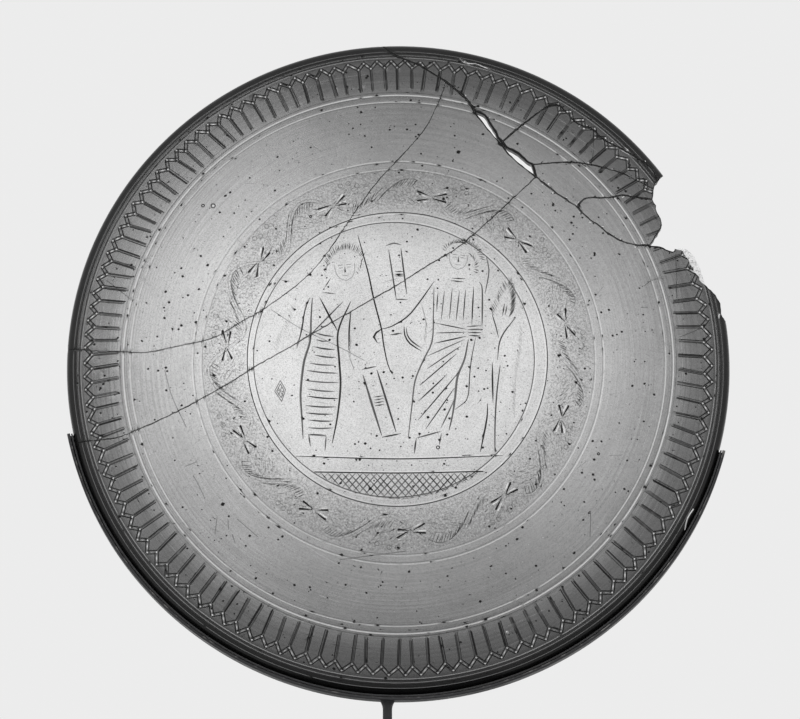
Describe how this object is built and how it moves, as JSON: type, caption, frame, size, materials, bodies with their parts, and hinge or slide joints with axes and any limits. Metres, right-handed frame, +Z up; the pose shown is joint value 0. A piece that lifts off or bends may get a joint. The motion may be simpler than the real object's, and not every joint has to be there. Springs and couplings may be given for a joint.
{
  "type": "engraved glass dish on display stand",
  "caption": "Shallow round glass dish with an engraved underside, mended from fragments and notched at the rim, leaning back in a thin black display cradle on a rod and base.",
  "frame": {"origin": "middle of the stand's footprint, on the surface that it stands on", "axes": "+Z up, -Y towards the viewer and the dish's engraved convex side, +X to the viewer's right; the dish leans back towards +Y"},
  "size_m": [0.23, 0.11, 0.2849],
  "materials": {
    "old_glass": "old clear glass, lightly weathered, pitted, with fine ground engraving on the convex side",
    "blackened_metal": "thin satin black paint, rubbed at the edges",
    "felt": "thin black felt",
    "screw_steel": "plain machine screw steel"
  },
  "bodies": {
    "stand_base": {"base_felt": "felt", "base_plate": "blackened_metal", "post_socket": "blackened_metal", "socket_screw": "screw_steel", "grub_screw": "screw_steel"},
    "cradle_arm": {"cradle_post": "blackened_metal", "cradle": "blackened_metal", "cradle_liner": "felt"},
    "dish": {"fragment_upper_left": "old_glass", "fragment_middle_strip": "old_glass", "fragment_lower": "old_glass", "fragment_upper_right_rim": "old_glass", "fragment_right_inner": "old_glass", "fragment_right_middle": "old_glass", "fragment_notch_foot": "old_glass"}
  },
  "joints": [
    {"name": "post_swivel", "type": "hinge", "parent": "stand_base", "child": "cradle_arm", "pos_m": [-0.0037, -0.01218, 0.05], "axis": [0, 0, 1], "continuous": true},
    {"name": "dish_lift", "type": "slide", "parent": "cradle_arm", "child": "dish", "axis": [0, 0.2079, 0.9781], "range_m": [0, 0.13]}
  ]
}
